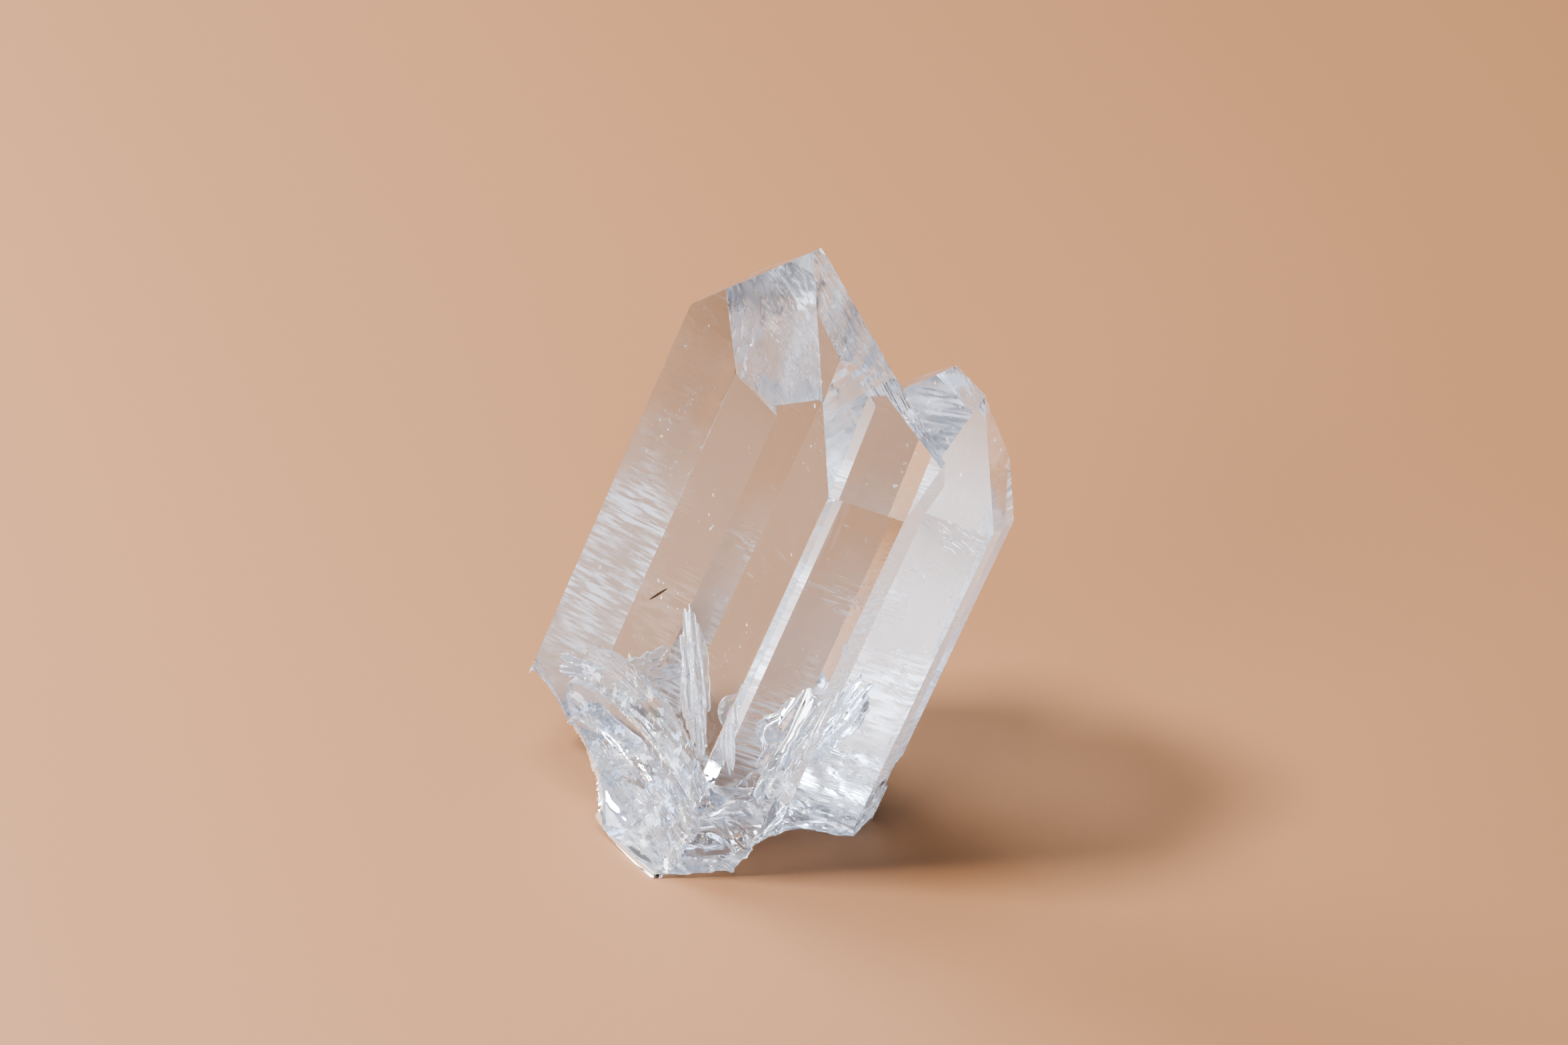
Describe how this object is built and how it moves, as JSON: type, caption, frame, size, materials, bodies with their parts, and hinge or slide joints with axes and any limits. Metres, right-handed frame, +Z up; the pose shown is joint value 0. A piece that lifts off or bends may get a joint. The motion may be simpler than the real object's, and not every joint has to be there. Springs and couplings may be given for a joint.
{
  "type": "quartz crystal",
  "caption": "Clear quartz cluster: a tall flat-faced point with a shorter point grown parallel beside it, leaning on a broken, ribbed base; an ornament or specimen.",
  "frame": {"origin": "middle of the bottom, on the surface it rests on", "axes": "+Z up as it stands, +X towards the shorter point, -Y towards the viewer of the picture"},
  "size_m": [0.0312, 0.0228, 0.0394],
  "materials": {
    "clear_quartz": "polished natural faces, rough where broken"
  },
  "bodies": {
    "root": {"quartz_crystal": "clear_quartz"}
  },
  "joints": []
}
